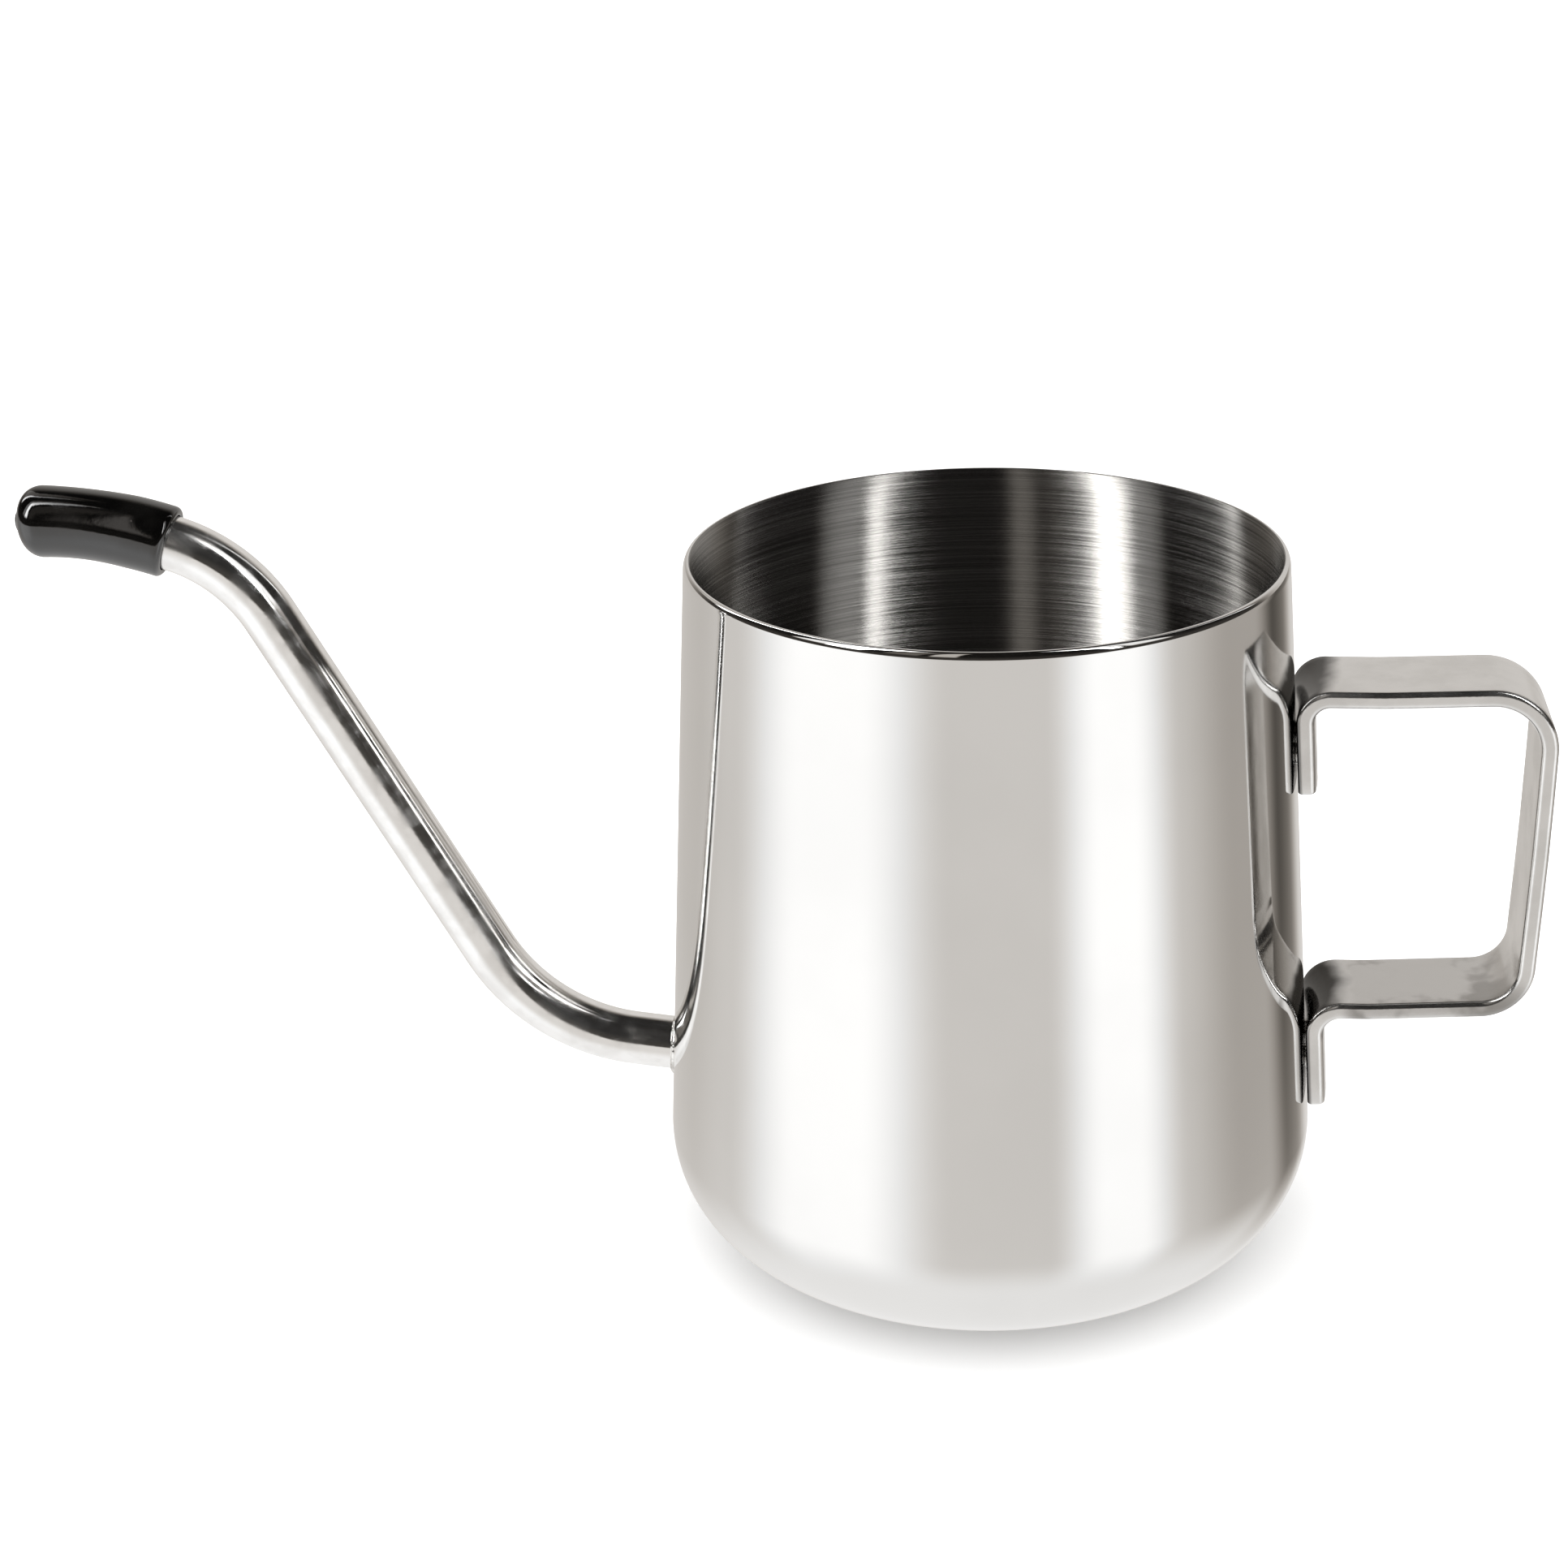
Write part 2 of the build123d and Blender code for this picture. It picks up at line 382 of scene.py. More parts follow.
def tumbledStripMaterial():
    look = stripLook
    material, tree, shader, place, patchColour = handledMaterial(
        "tumbledStrip", (0.7, 0.7, 0.68), look, metallic=1
    )

    def rampUp(value, pair, smooth=False):
        return remap(tree, value, pair[0] * mm, pair[1] * mm, 0.0, 1.0, smooth)

    def both(first, second):
        return compute(tree, "MULTIPLY", first, second)

    axes = addNode(tree, "ShaderNodeSeparateXYZ", {0: place}).outputs
    flat = addNode(tree, "ShaderNodeCombineXYZ", {0: axes[0], 1: axes[1]}).outputs[0]
    reach = addNode(tree, "ShaderNodeVectorMath", {0: flat}, operation="LENGTH").outputs["Value"]
    taper = compute(tree, "MULTIPLY", axes[2], sideSlope)
    gap = compute(tree, "SUBTRACT", compute(tree, "ADD", reach, taper), shell["baseRadius"] * mm)
    # one noise mottles the painted shade on the lower run and makes the ragged line of the painted shade on
    # the bends
    paintedShadeNoise = addNode(
        tree, "ShaderNodeTexNoise", {"Vector": place, "Scale": look["paintedShadeNoiseScale"], "Detail": 3}
    ).outputs[0]
    # painted shade: the lower run is darker than the rest, in mottled patches
    low = both(rampUp(axes[2], look["lowerRunPaintedShadeBelow"], True), rampUp(axes[0], look["lowerRunPaintedShadeBeyond"], True))
    lowerRunPaintedShade = both(low, remap(tree, paintedShadeNoise, 0.46, 0.6, 0.4, 1.0, smooth=True))
    # painted shade: the hollow bends beside the shell are painted dark up to a ragged line, but not their
    # rounded edges
    raggedness = both(compute(tree, "SUBTRACT", paintedShadeNoise, 0.5), look["bendPaintedShadeRagged"] * mm)
    bendPaintedShade = rampUp(compute(tree, "ADD", gap, raggedness), look["bendPaintedShadeGap"], True)
    bendPaintedShade = both(bendPaintedShade, rampUp(compute(tree, "ABSOLUTE", axes[1]), look["bendPaintedShadeAcross"]))
    lowerBend = both(rampUp(axes[2], look["lowerBendAbove"]), rampUp(axes[2], look["lowerBendBelow"]))
    upperBend = rampUp(axes[2], look["upperBendAbove"])
    bendPaintedShade = both(bendPaintedShade, compute(tree, "MAXIMUM", upperBend, lowerBend))
    # painted shade: the crevice between a tab and the shell is painted dark
    crevicePaintedShade = rampUp(gap, look["crevicePaintedShadeGap"], True)
    # the painted shade on the lower run, the bends and the crevices is mixed into the colour
    colour = patchColour
    for amount, name in ((lowerRunPaintedShade, "lowerRunPaintedShade"), (bendPaintedShade, "bendPaintedShade"), (crevicePaintedShade, "crevicePaintedShade")):
        colour = mixColour(tree, amount, colour, (*look[name], 1))
    tree.links.new(colour, shader.inputs["Base Color"])
    return material


vinylLook = {
    "light": (0.0008, 0.0008, 0.0008),
    "dark": (0.0015, 0.0014, 0.0012),
    "dust": (0.30, 0.28, 0.26),
    "smooth": 0.05,
    "dull": 0.12,
    "refraction": 1.55,
    "gloss": 1.0,
    "patchScale": 180,
    "speckleScale": 1200,
    "dustScale": 520,
    "dustRareness": 330,
    "bumpStrength": 0.12,
    "bumpDepth": 0.00005,
}


def softVinylMaterial():
    look = vinylLook
    material, tree, shader, place, patchColour = handledMaterial(
        "softVinyl", (0.02, 0.02, 0.02), look, metallic=0
    )
    shader.inputs["IOR"].default_value = look["refraction"]
    shader.inputs["Specular IOR Level"].default_value = look["gloss"]
    # a few specks of dust
    specks = addNode(
        tree, "ShaderNodeTexVoronoi", {"Vector": place, "Scale": look["dustScale"], "Randomness": 1.0}
    ).outputs["Distance"]
    rare = addNode(
        tree, "ShaderNodeTexNoise", {"Vector": place, "Scale": look["dustRareness"], "Detail": 0}
    ).outputs[0]
    speckMask = compute(
        tree,
        "MULTIPLY",
        remap(tree, specks, 0.06, 0.12, 1.0, 0.0),
        remap(tree, rare, 0.62, 0.68, 0.0, 1.0),
    )
    colour = mixColour(tree, speckMask, patchColour, (*look["dust"], 1))
    tree.links.new(colour, shader.inputs["Base Color"])
    return material


# the drawn shell, turned from one outline
shell = {
    "height": 92.4,
    "mouthRadius": 37.5,
    "baseRadius": 43.3,  # where the line of the side would meet the floor
    "cornerRadius": 15.0,
    "wall": 0.8,
    "lipRounding": 0.6,
    "lipDrop": 1.15,  # the outer rounding of the lip is taller than it is wide
    "innerRounding": 0.12,
    "cornerSegments": 30,
    "longEdge": 20,  # only the straight sides are longer, and they get the rows
    "rows": 22,
    "steps": 176,
    "sharpAngle": 50,
}
sideSlope = (shell["baseRadius"] - shell["mouthRadius"]) / shell["height"]
sideWall = shell["wall"] * hypot(1, sideSlope)  # the wall measured level


def sideRadius(z):
    return shell["baseRadius"] - sideSlope * z


spout = {
    "tubeRadius": 3.5,
    "tubeWall": 0.8,
    "height": 23.0,
    "rise": 6.5,
    "rootLength": 5.5,
    "stub": 0.5,
    "lowerBend": 24.6,
    "lean": 61.7,
    "stretch": 52.5,
    "upperBend": 19.7,
    "tipStart": 20.0,
    "tipRadius": 50.0,
    "tipLength": 17.2,
    "holeGap": 0.05,
    "sides": 64,
    "bendStep": 1.8,
    "runStep": 3.0,
    "endRounding": 0.12,
    "sharpAngle": 40,
}
spoutHeading = Vector((-cos(radians(spout["rise"])), 0, sin(radians(spout["rise"]))))
spoutWallPoint = sidePoint(-sideRadius(spout["height"]), spout["height"])


def alongSpout(point):
    # places a shape that was made round the Z axis on the spout's root
    facing = Vector((0, 0, 1)).rotation_difference(spoutHeading).to_matrix().to_4x4()
    return Matrix.Translation(point) @ facing


def makeShell():
    size = shell
    bm = bmesh.new()
    top, wall = size["height"], size["wall"]
    outline = [
        (0, 0),
        (size["baseRadius"], 0),
        (size["mouthRadius"], top),
        (size["mouthRadius"] - sideWall, top),
        (sideRadius(wall) - sideWall, wall),
        (0, wall),
    ]
    face = bm.faces.new([bm.verts.new(sidePoint(x, z)) for x, z in outline])
    outerCorner = size["cornerRadius"] * mm
    roundCorner(bm, vertexNear(bm, sidePoint(*outline[1])), outerCorner, size["cornerSegments"])
    innerCorner = (size["cornerRadius"] - wall) * mm
    roundCorner(bm, vertexNear(bm, sidePoint(*outline[4])), innerCorner, size["cornerSegments"])
    roundCorner(bm, vertexNear(bm, sidePoint(*outline[3])), size["innerRounding"] * mm, 3)
    roundCorner(bm, vertexNear(bm, sidePoint(*outline[2])), size["lipRounding"] * mm, 10)
    stretch = size["lipDrop"] / size["lipRounding"]
    for v in bm.verts:
        depth = top * mm - v.co.z
        if depth < size["lipRounding"] * 1.01 * mm and v.co.x > (size["mouthRadius"] - sideWall / 2) * mm:
            v.co.z = top * mm - depth * stretch
    bmesh.ops.delete(bm, geom=list(bm.faces), context="FACES_ONLY")
    axisEdge = [e for e in bm.edges if all(v.co.x < 1e-7 for v in e.verts)]
    bmesh.ops.delete(bm, geom=axisEdge, context="EDGES")
    # rows up the side keep the facets short, so that reflections stay true
    longEdges = [e for e in bm.edges if e.calc_length() > size["longEdge"] * mm]
    for edge in longEdges:
        bmesh.ops.subdivide_edges(bm, edges=[edge], cuts=size["rows"])
    turnRound(bm, size["steps"])
    for face in bm.faces:
        middle = face.calc_center_median()
        outward = face.normal.x * middle.x + face.normal.y * middle.y
        insideFloor = face.normal.z > 0.5 and middle.z < size["cornerRadius"] * mm
        insideWall = outward < 0 and middle.z > size["wall"] / 2 * mm
        if insideWall or insideFloor:
            face.material_index = 1
    return bm


def cutSpoutHole(piece):
    # the hole in the wall that the spout is welded into
    size = spout
    bm = bmesh.new()
    holeRadius = (size["tubeRadius"] + size["holeGap"]) * mm
    bmesh.ops.create_cone(
        bm,
        cap_ends=True,
        segments=size["sides"],
        radius1=holeRadius,
        radius2=holeRadius,
        depth=2 * size["rootLength"] * mm,
        matrix=alongSpout(spoutWallPoint),
    )
    drillMesh = bpy.data.meshes.new("holeDrill")
    bm.to_mesh(drillMesh)
    bm.free()
    drill = bpy.data.objects.new("holeDrill", drillMesh)
    bpy.context.scene.collection.objects.link(drill)
    cut = piece.modifiers.new("spoutHole", "BOOLEAN")
    cut.operation = "DIFFERENCE"
    cut.solver = "EXACT"
    cut.object = drill
    ready = piece.evaluated_get(bpy.context.evaluated_depsgraph_get())
    mesh = bpy.data.meshes.new_from_object(ready)
    piece.modifiers.remove(cut)
    piece.data = mesh
    mesh.set_sharp_from_angle(angle=radians(shell["sharpAngle"]))
    bpy.data.objects.remove(drill)
    bpy.data.meshes.remove(drillMesh)


mirrorPolish = polishedShellMaterial()
turnedInside = turnedMaterial()
polishedTubing = polishedTubeMaterial()
weldMetal = weldMaterial()
tumbledStrip = tumbledStripMaterial()
softVinyl = softVinylMaterial()
print("finishes made")

drawnShell = makePiece(
    makeShell(),
    "drawnShell",
    "pitcher",
    [mirrorPolish, turnedInside],
    ["pitcher_body"],
    shell["sharpAngle"],
)
cutSpoutHole(drawnShell)


def makeSpout():
    size = spout
    inside = sideWall + size["stub"]
    start = spoutWallPoint - spoutHeading * inside * mm
    bm = bmesh.new()
    bmesh.ops.create_circle(
        bm,
        cap_ends=False,
        segments=size["sides"],
        radius=size["tubeRadius"] * mm,
        matrix=alongSpout(start),
    )
    moves = [
        ("run", inside + size["rootLength"]),
        ("bend", size["lowerBend"], size["rise"] - size["lean"]),
        ("run", size["stretch"]),
        ("bend", size["upperBend"], size["lean"] - size["tipStart"]),
        ("bend", size["tipRadius"], degrees(size["tipLength"] / size["tipRadius"])),
    ]
    sweepRing(bm, list(bm.edges), start, spoutHeading, moves, size["bendStep"], size["runStep"])
    closeUp(bm)
    bmesh.ops.solidify(bm, geom=list(bm.faces), thickness=size["tubeWall"] * mm)
    bmesh.ops.recalc_face_normals(bm, faces=bm.faces)
    rims = [e for e in bm.edges if len(e.link_faces) == 2 and e.calc_face_angle(0) > radians(60)]
    bmesh.ops.bevel(
        bm,
        geom=rims,
        offset=size["endRounding"] * mm,
        offset_type="OFFSET",
        segments=2,
        profile=0.5,
        affect="EDGES",
        material=-1,
    )
    return bm


makePiece(
    makeSpout(),
    "spoutTubing",
    "pitcher",
    [polishedTubing],
    ["spout_tube"],
    spout["sharpAngle"],
)


# the bead round the root of the spout
bead = {
    "across": 0.62,  # how far it stands out from the tube
    "along": 0.6,
    "ripples": 34,
    "rippleHeight": 0.035,
    "steps": 136,
    "sides": 16,
    "sharpAngle": 60,
}


def makeBead():
    size = bead
    bm = bmesh.new()
    bmesh.ops.create_circle(
        bm,
        cap_ends=False,
        segments=size["sides"],
        radius=1,
        matrix=Matrix.Rotation(pi / 2, 4, "X"),
    )
    bmesh.ops.scale(bm, verts=bm.verts, vec=(size["across"] * mm, 1, size["along"] * mm))
    bmesh.ops.translate(bm, verts=bm.verts, vec=(spout["tubeRadius"] * mm, 0, 0))
    turnRound(bm, size["steps"])
    bm.transform(alongSpout(spoutWallPoint))
    for v in bm.verts:
        offset = v.co - spoutWallPoint
        around = offset - spoutHeading * offset.dot(spoutHeading)
        turn = Vector((0, 1, 0)).angle(around) * (1 if around.z > 0 else -1)
        swell = size["rippleHeight"] * mm * sin(turn * size["ripples"])
        # the wall falls away from the root's plane, and the bead follows it
        z = (spoutWallPoint + around).z
        wallX = -sqrt(max(0, (sideRadius(z / mm) * mm) ** 2 - around.y ** 2))
        shift = (wallX - (spoutWallPoint + around).x) / spoutHeading.x
        v.co += spoutHeading * shift + around.normalized() * swell
    return bm


makePiece(
    makeBead(),
    "spoutWeldBead",
    "pitcher",
    [weldMetal],
    ["spout_weld_bead"],
    bead["sharpAngle"],
)


# the bent strip of the handle
strip = {
    "width": 14.0,
    "thickness": 2.2,
    "edgeRounding": 0.7,
    "endRounding": 0.3,
    "tabGap": 0.3,
    "levelRun": 2.0,
    "upperTabBottom": 63.2,
    "upperRunTop": 76.9,
    "upperRise": 2.2,
    "lowerTabBottom": 19.6,
    "lowerRunUnderside": 31.95,
    "lowerRise": 3.0,
    "reachTop": 71.1,
    "reachBottom": 69.8,
    "bow": 0.3,
    "bendRadii": [4.2, 40.0, 8.2, 600.0, 7.0, 40.0, 2.3],
    "columns": 11,
    "bendStep": 4.0,
    "runStep": 3.0,
    "sharpAngle": 50,
}


def bendMoves(corners, radii):
    # turns corner points and bend radii into the runs and bends between them
    moves = []
    used = 0
    for i in range(1, len(corners)):
        arm = Vector(corners[i]) - Vector(corners[i - 1])
        if i == len(corners) - 1:
            moves.append(("run", arm.length - used))
            break
        nextArm = Vector(corners[i + 1]) - Vector(corners[i])
        turn = -arm.angle_signed(nextArm)
        reach = radii[i - 1] * tan(abs(turn) / 2)
        moves.append(("run", arm.length - used - reach))
        moves.append(("bend", radii[i - 1], degrees(turn)))
        used = reach
    return moves


def makeStrip():
    size = strip
    tabFace = sideRadius(size["lowerRunUnderside"]) + size["tabGap"] + size["thickness"]
    sideAngle = degrees(Vector((1, sideSlope)).angle(Vector((1, 0))))
    flatFrom = tabFace + size["bendRadii"][-1] * tan(radians(45 + sideAngle / 2)) + size["levelRun"] / 4
    levelEnd = hypot(flatFrom, size["width"] / 2) + size["levelRun"]
    upperRun, lowerRun = size["upperRunTop"], size["lowerRunUnderside"]
    gripTop = upperRun + (size["reachTop"] - levelEnd) * tan(radians(size["upperRise"]))
    gripBottom = lowerRun + (size["reachBottom"] - levelEnd) * tan(radians(size["lowerRise"]))
    corners = [
        (sideRadius(size["upperTabBottom"]) + size["tabGap"], size["upperTabBottom"]),
        (sideRadius(upperRun) + size["tabGap"], upperRun),
        (levelEnd, upperRun),
        (size["reachTop"], gripTop),
        ((size["reachTop"] + size["reachBottom"]) / 2 + size["bow"], (gripTop + gripBottom) / 2),
        (size["reachBottom"], gripBottom),
        (levelEnd, lowerRun),
        (tabFace, lowerRun),
        (sideRadius(size["lowerTabBottom"]) + size["tabGap"] + size["thickness"], size["lowerTabBottom"]),
    ]
    start = sidePoint(*corners[0])
    heading = (sidePoint(*corners[1]) - start).normalized()
    right = Vector((heading.z, 0, -heading.x))
    half = size["width"] / 2 * mm
    bm = bmesh.new()
    section = [
        start + Vector((0, -half, 0)),
        start + Vector((0, half, 0)),
        start + Vector((0, half, 0)) + right * size["thickness"] * mm,
        start + Vector((0, -half, 0)) + right * size["thickness"] * mm,
    ]
    bm.faces.new([bm.verts.new(point) for point in section])
    for point in section:
        roundCorner(bm, vertexNear(bm, point), size["edgeRounding"] * mm, 5)
    bmesh.ops.delete(bm, geom=list(bm.faces), context="FACES_ONLY")
    longEdges = [e for e in bm.edges if e.calc_length() > size["width"] / 2 * mm]
    bmesh.ops.subdivide_edges(bm, edges=longEdges, cuts=size["columns"])
    firstRing = list(bm.edges)
    moves = bendMoves(corners, size["bendRadii"])
    lastRing = sweepRing(bm, firstRing, start, heading, moves, size["bendStep"], size["runStep"])
    bmesh.ops.contextual_create(bm, geom=firstRing)
    bmesh.ops.contextual_create(bm, geom=lastRing)
    closeUp(bm)
    endEdges = [e for e in bm.edges if any(len(f.verts) > 8 for f in e.link_faces)]
    bmesh.ops.bevel(
        bm,
        geom=endEdges,
        offset=size["endRounding"] * mm,
        offset_type="OFFSET",
        segments=3,
        profile=0.5,
        affect="EDGES",
        material=-1,
    )
    # the tabs and the bends beside them are pressed round the shell
    for v in bm.verts:
        if v.co.x < flatFrom * mm:
            v.co.x = sqrt(v.co.x ** 2 - v.co.y ** 2)
    return bm


makePiece(
    makeStrip(),
    "handleStrip",
    "pitcher",
    [tumbledStrip],
    ["handle_strip"],
    strip["sharpAngle"],
)


# the nuggets under the tabs keep their own shape and get a finish
for node in ("upper_tab_welds", "lower_tab_welds"):
    welds = frame["nodes"][node]
    for slotIndex in range(len(welds.material_slots)):
        welds.material_slots[slotIndex].material = weldMetal
print("spot welds finished")


# the soft cap on the tip
cap = {
    "boreRadius": 3.6,
    "radius": 4.6,
    "start": 1.1,  # how far along the arc of the tip its mouth stands
    "length": 18.8,
    "boreLength": 17.2,
    "mouthRounding": 0.7,
    "boreRounding": 0.2,
    "boreEndRounding": 1.2,
    "endRounding": 2.7,
    "nubRadius": 1.6,
    "nubFlare": 0.12,
    "nubTaper": 0.15,
    "nubLength": 0.66,
    "nubRounding": 0.4,
    "nubFootRounding": 0.12,
    "waist": 0.14,  # how far the side draws in before the rounded end
    "waistPlace": 11.5,
    "waistReach": 4.2,
    "outsideFrom": 3.9,
    "rows": 24,
    "steps": 72,
    "sharpAngle": 60,
}
capHinge = Vector(frame["joints"][0]["pos_m"])  # the middle of the tip's arc


def makeCap():
    size = cap
    bm = bmesh.new()
    end = size["length"]
    side = size["radius"]
    outline = [
        (size["boreRadius"], 0),
        (side, 0),
        (side, end),
        (size["nubRadius"] + size["nubFlare"], end),
        (size["nubRadius"] - size["nubTaper"], end + size["nubLength"]),
        (0, end + size["nubLength"]),
        (0, size["boreLength"]),
        (size["boreRadius"], size["boreLength"]),
    ]
    bm.faces.new([bm.verts.new(sidePoint(x, z)) for x, z in outline])
    roundings = [
        (2, "endRounding", 14),
        (1, "mouthRounding", 6),
        (0, "boreRounding", 4),
        (4, "nubRounding", 5),
        (3, "nubFootRounding", 3),
        (7, "boreEndRounding", 5),
    ]
    for corner, rounding, segments in roundings:
        roundCorner(bm, vertexNear(bm, sidePoint(*outline[corner])), size[rounding] * mm, segments)
    bmesh.ops.delete(bm, geom=list(bm.faces), context="FACES_ONLY")
    axisEdges = [e for e in bm.edges if all(v.co.x < 1e-7 for v in e.verts)]
    bmesh.ops.delete(bm, geom=axisEdges, context="EDGES")
    longEdges = [e for e in bm.edges if e.calc_length() > side * mm]
    bmesh.ops.subdivide_edges(bm, edges=longEdges, cuts=size["rows"])
    for v in bm.verts:
        along = v.co.z / mm
        fromWaist = (along - size["waistPlace"]) / size["waistReach"]
        if v.co.x > size["outsideFrom"] * mm and abs(fromWaist) < pi / 2:
            v.co.x -= size["waist"] * cos(fromWaist) * mm
    turnRound(bm, size["steps"])
    # bend it round the middle of the tip's arc
    arcRadius = spout["tipRadius"]
    for v in bm.verts:
        rise = radians(spout["tipStart"]) - (size["start"] + v.co.z / mm) / arcRadius
        reach = arcRadius * mm + v.co.x
        v.co = capHinge + Vector((reach * sin(rise), v.co.y, reach * cos(rise)))
    bmesh.ops.recalc_face_normals(bm, faces=bm.faces)
    return bm


makePiece(makeCap(), "spoutCap", "cap", [softVinyl], ["spout_cap"], cap["sharpAngle"])


cameraPlace = {
    "target": (0, 0, 0.0612),
    "distance": 0.3634,
    "pitch": 22.475,
    "turn": 3.37,
    "roll": -0.336,
    "lens": 65.22,
    "sensor": 36,
    "shift": -0.1303,
}


def placeCamera():
    place = cameraPlace
    data = bpy.data.cameras.new("camera")
    data.lens = place["lens"]
    data.sensor_width = place["sensor"]
    data.shift_x = place["shift"]
    data.clip_start = 0.01
    data.clip_end = 20
    camera = bpy.data.objects.new("camera", data)
    bpy.context.scene.collection.objects.link(camera)
    pitch, turn = radians(place["pitch"]), radians(place["turn"])
    level = place["distance"] * cos(pitch)
    away = Vector((level * sin(turn), -level * cos(turn), place["distance"] * sin(pitch)))
    facing = (-away).to_track_quat("-Z", "Y").to_matrix().to_4x4()
    roll = Matrix.Rotation(radians(place["roll"]), 4, "Z")
    camera.matrix_world = Matrix.Translation(Vector(place["target"]) + away) @ facing @ roll
    bpy.context.scene.camera = camera
    print("camera placed")


placeCamera()


floorLook = {
    "size": 6,
    "drop": 0.0002,  # keeps the floor clear of the base
    "light": (0.95, 0.95, 0.948, 1),
    "dark": (0.93, 0.93, 0.925, 1),
    "grainScale": 3.0,
}


def makeFloor():
    look = floorLook
    bm = bmesh.new()
    bmesh.ops.create_grid(bm, x_segments=1, y_segments=1, size=look["size"])
    bmesh.ops.translate(bm, verts=bm.verts, vec=(0, 0, -look["drop"]))
    mesh = bpy.data.meshes.new("paleFloor")
    bm.to_mesh(mesh)
    bm.free()
    material, tree, shader, place = newMaterial("paleFloor", (0.95, 0.95, 0.95))
    grain = addNode(
        tree, "ShaderNodeTexNoise", {"Vector": place, "Scale": look["grainScale"], "Detail": 2}
    ).outputs[0]
    tint = mixColour(tree, grain, look["dark"], look["light"])
    tree.links.new(tint, shader.inputs["Base Color"])
    shader.inputs["Roughness"].default_value = 0.9
    shader.inputs["Specular IOR Level"].default_value = 0
    mesh.materials.append(material)
    floor = bpy.data.objects.new("paleFloor", mesh)
    bpy.context.scene.collection.objects.link(floor)
    floor.visible_glossy = False
    print("floor laid")


makeFloor()


# light that only the polished metal sees, and even light for all the rest
# directions are in degrees from +X towards +Y, and the camera stands at about -87
studio = {
    "plain": 1.75,  # what lights the floor and the vinyl evenly
    "tableLevel": 0.70,
    "tableUnder": 0.95,
    # soft glows and one dim side of the table: direction, core half width, outer half width, strength
    "tableGlows": [
        (-40, 6, 27, 0.56),
        (-146, 12, 47, 0.56),
        (28, 14, 50, -0.28),
        (51, 5, 22, -0.34),
        (118, 20, 50, -0.12),
    ],
    "roomLow": 0.035,
    "roomHigh": 0.008,
    "wallBehind": 0.66,
    "wallDim": (155, 15, 60, -0.36),
    "ceiling": 0.06,
    # upright softboxes: direction, core half width, outer half width, strength
    "softboxes": [
        (-38, 1.5, 3, 11.0),
        (-23, 8, 10, 1.0),
        (-142, 6, 8, 9.0),
        (-157, 6, 8, 1.1),
        (-103, 4, 6, 0.5),
        (-119, 5, 8, 0.12),
        (33, 1.5, 3, 1.4),
        (153, 3, 5, 5.5),
        (138, 8, 11, 0.5),
    ],
    # heights are sines: where a fade starts and where it ends
    "softboxFoot": (0.3, 0.42),
    "softboxTop": (0.97, 0.87),
    "underFade": (-0.35, -0.85),
    "frontFade": (0.1, 0.5),
    "wallFade": (0.62, 0.97),
    "behindFade": (0.45, 0.85),  # how far back the wall begins
    "tableEdge": (-0.03, 0.03),
    "warm": (1.12, 1.0, 0.87, 1),
}


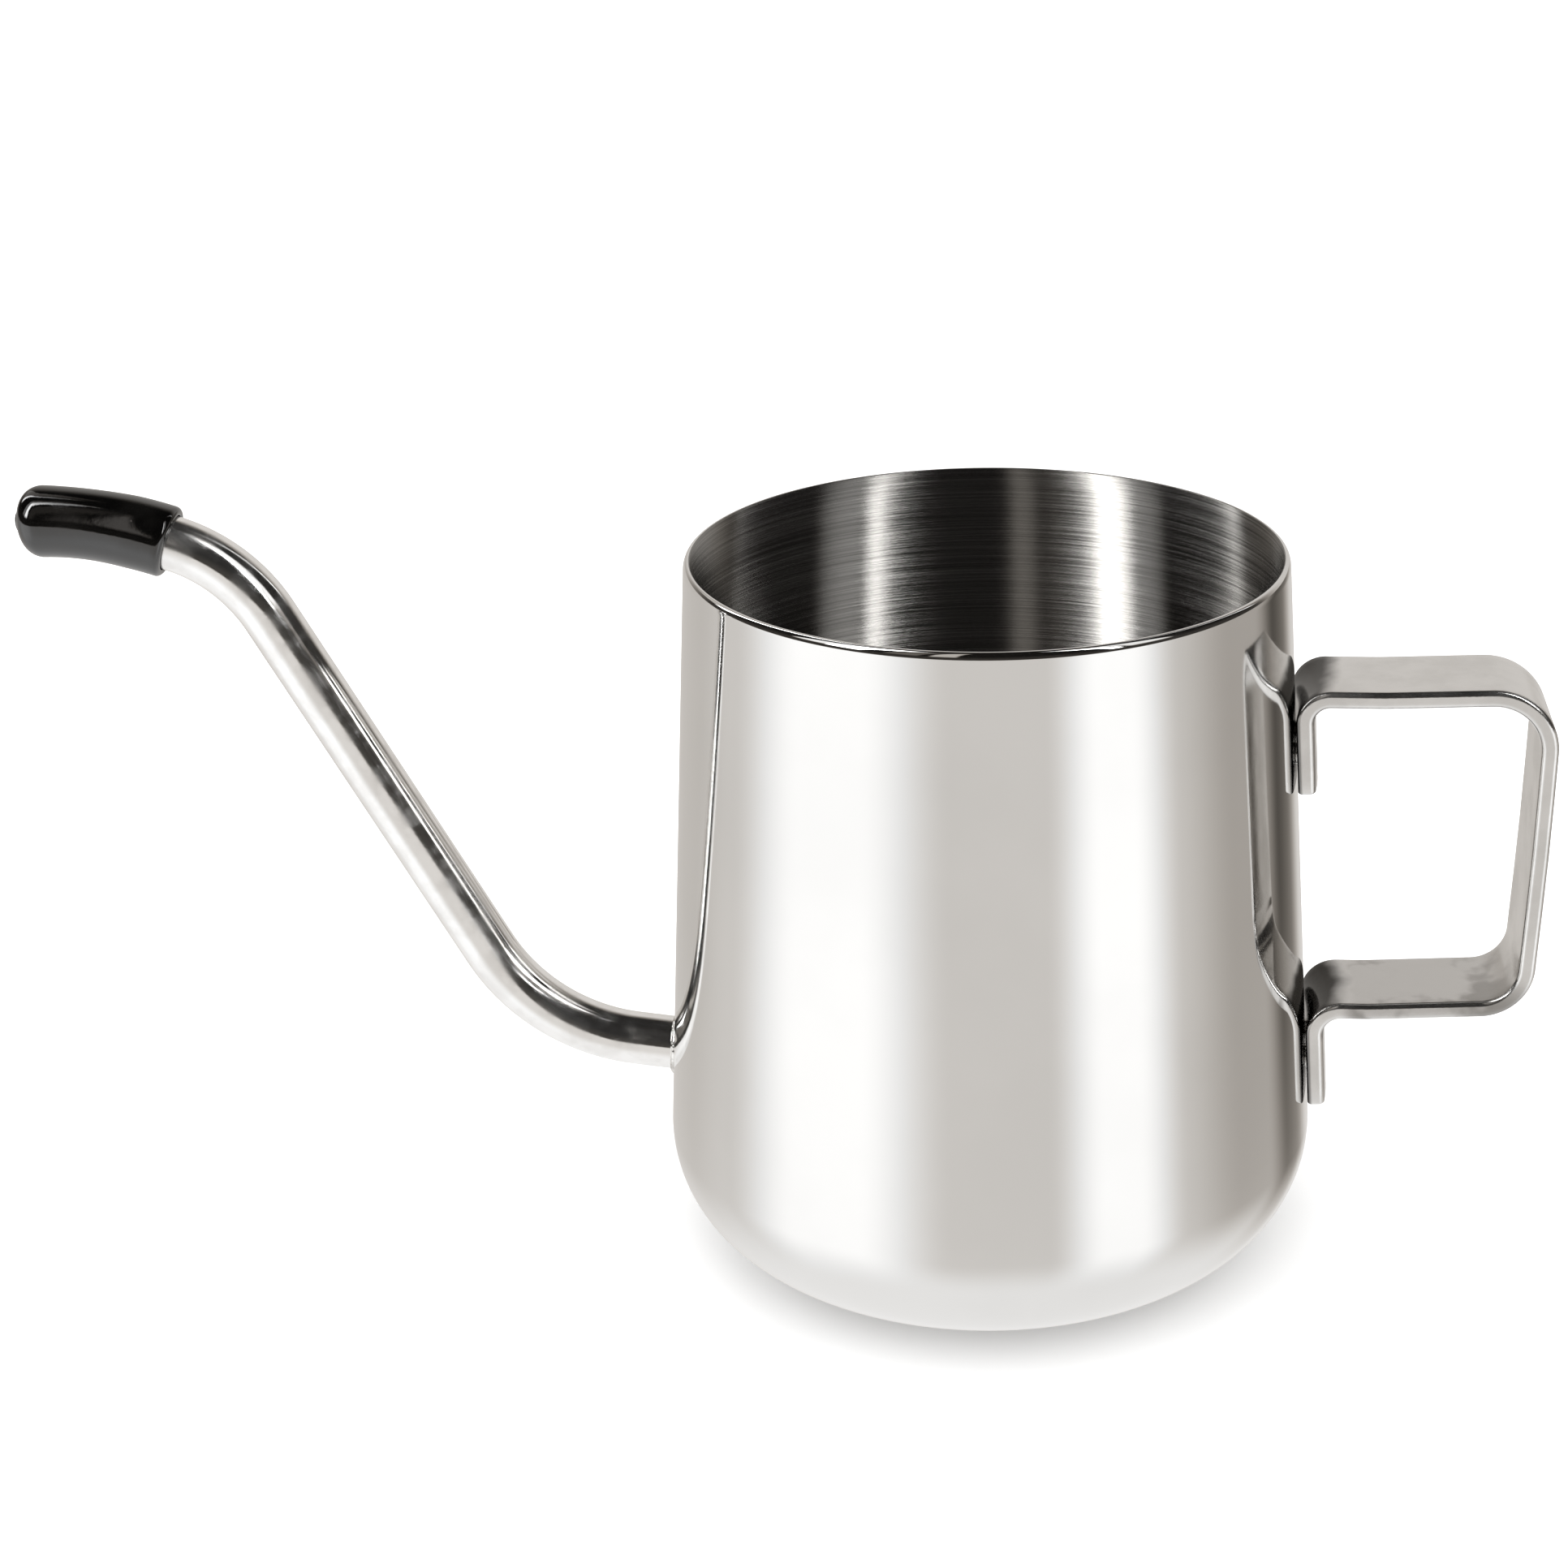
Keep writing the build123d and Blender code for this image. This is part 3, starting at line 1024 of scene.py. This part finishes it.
def makeStudio():
    world = bpy.data.worlds.new("studio")
    bpy.context.scene.world = world
    world.use_nodes = True
    tree = world.node_tree
    tree.nodes.clear()
    look = studio
    direction = addNode(tree, "ShaderNodeTexCoord").outputs["Generated"]
    parts = addNode(tree, "ShaderNodeSeparateXYZ", {0: direction}).outputs
    x, y, z = parts[0], parts[1], parts[2]
    levelSquared = compute(tree, "SUBTRACT", 1, compute(tree, "MULTIPLY", z, z))
    level = compute(tree, "SQRT", compute(tree, "MAXIMUM", levelSquared, 0.0001))

    def around(angle, core, outer, strength):
        # an upright band of light in one direction, with soft sides
        along = compute(
            tree,
            "ADD",
            compute(tree, "MULTIPLY", x, cos(radians(angle))),
            compute(tree, "MULTIPLY", y, sin(radians(angle))),
        )
        away = compute(tree, "ARCCOSINE", compute(tree, "MINIMUM", compute(tree, "DIVIDE", along, level), 1))
        return remap(tree, away, radians(outer), radians(core), 0.0, strength, smooth=True)

    def blend(factor, first, second):
        return addNode(tree, "ShaderNodeMix", {0: factor, 2: first, 3: second}).outputs[0]

    table = look["tableLevel"]
    for glow in look["tableGlows"]:
        table = compute(tree, "ADD", table, around(*glow))
    under = remap(tree, z, *look["underFade"], 0.0, 1.0, smooth=True)
    table = blend(under, table, look["tableUnder"])
    front = remap(tree, z, *look["frontFade"], look["roomLow"], look["roomHigh"], smooth=True)
    wall = compute(tree, "ADD", around(*look["wallDim"]), look["wallBehind"])
    back = remap(tree, z, *look["wallFade"], wall, look["ceiling"], smooth=True)
    behind = remap(tree, y, *look["behindFade"], 0.0, 1.0, smooth=True)
    room = blend(behind, front, back)
    boxes = 0.0
    for box in look["softboxes"]:
        boxes = compute(tree, "ADD", boxes, around(*box))
    aboveFoot = remap(tree, z, *look["softboxFoot"], 0, 1)
    belowTop = remap(tree, z, *look["softboxTop"], 0, 1)
    tall = compute(tree, "MULTIPLY", aboveFoot, belowTop)
    room = compute(tree, "ADD", room, compute(tree, "MULTIPLY", boxes, tall))
    over = remap(tree, z, *look["tableEdge"], 0.0, 1.0, smooth=True)
    value = blend(over, table, room)
    # what is dark is a little warm
    tint = mixColour(tree, value, look["warm"], (1, 1, 1, 1))
    mirrored = addNode(
        tree, "ShaderNodeVectorMath", {0: tint, "Scale": value}, operation="SCALE"
    ).outputs[0]
    glossy = addNode(tree, "ShaderNodeLightPath").outputs["Is Glossy Ray"]
    plain = look["plain"]
    seen = mixColour(tree, glossy, (plain, plain, plain, 1), mirrored)
    background = addNode(tree, "ShaderNodeBackground", {0: seen, 1: 1.0})
    output = tree.nodes.new("ShaderNodeOutputWorld")
    tree.links.new(background.outputs[0], output.inputs[0])


makeStudio()
bpy.context.scene.view_settings.view_transform = "Standard"
print("studio ready")
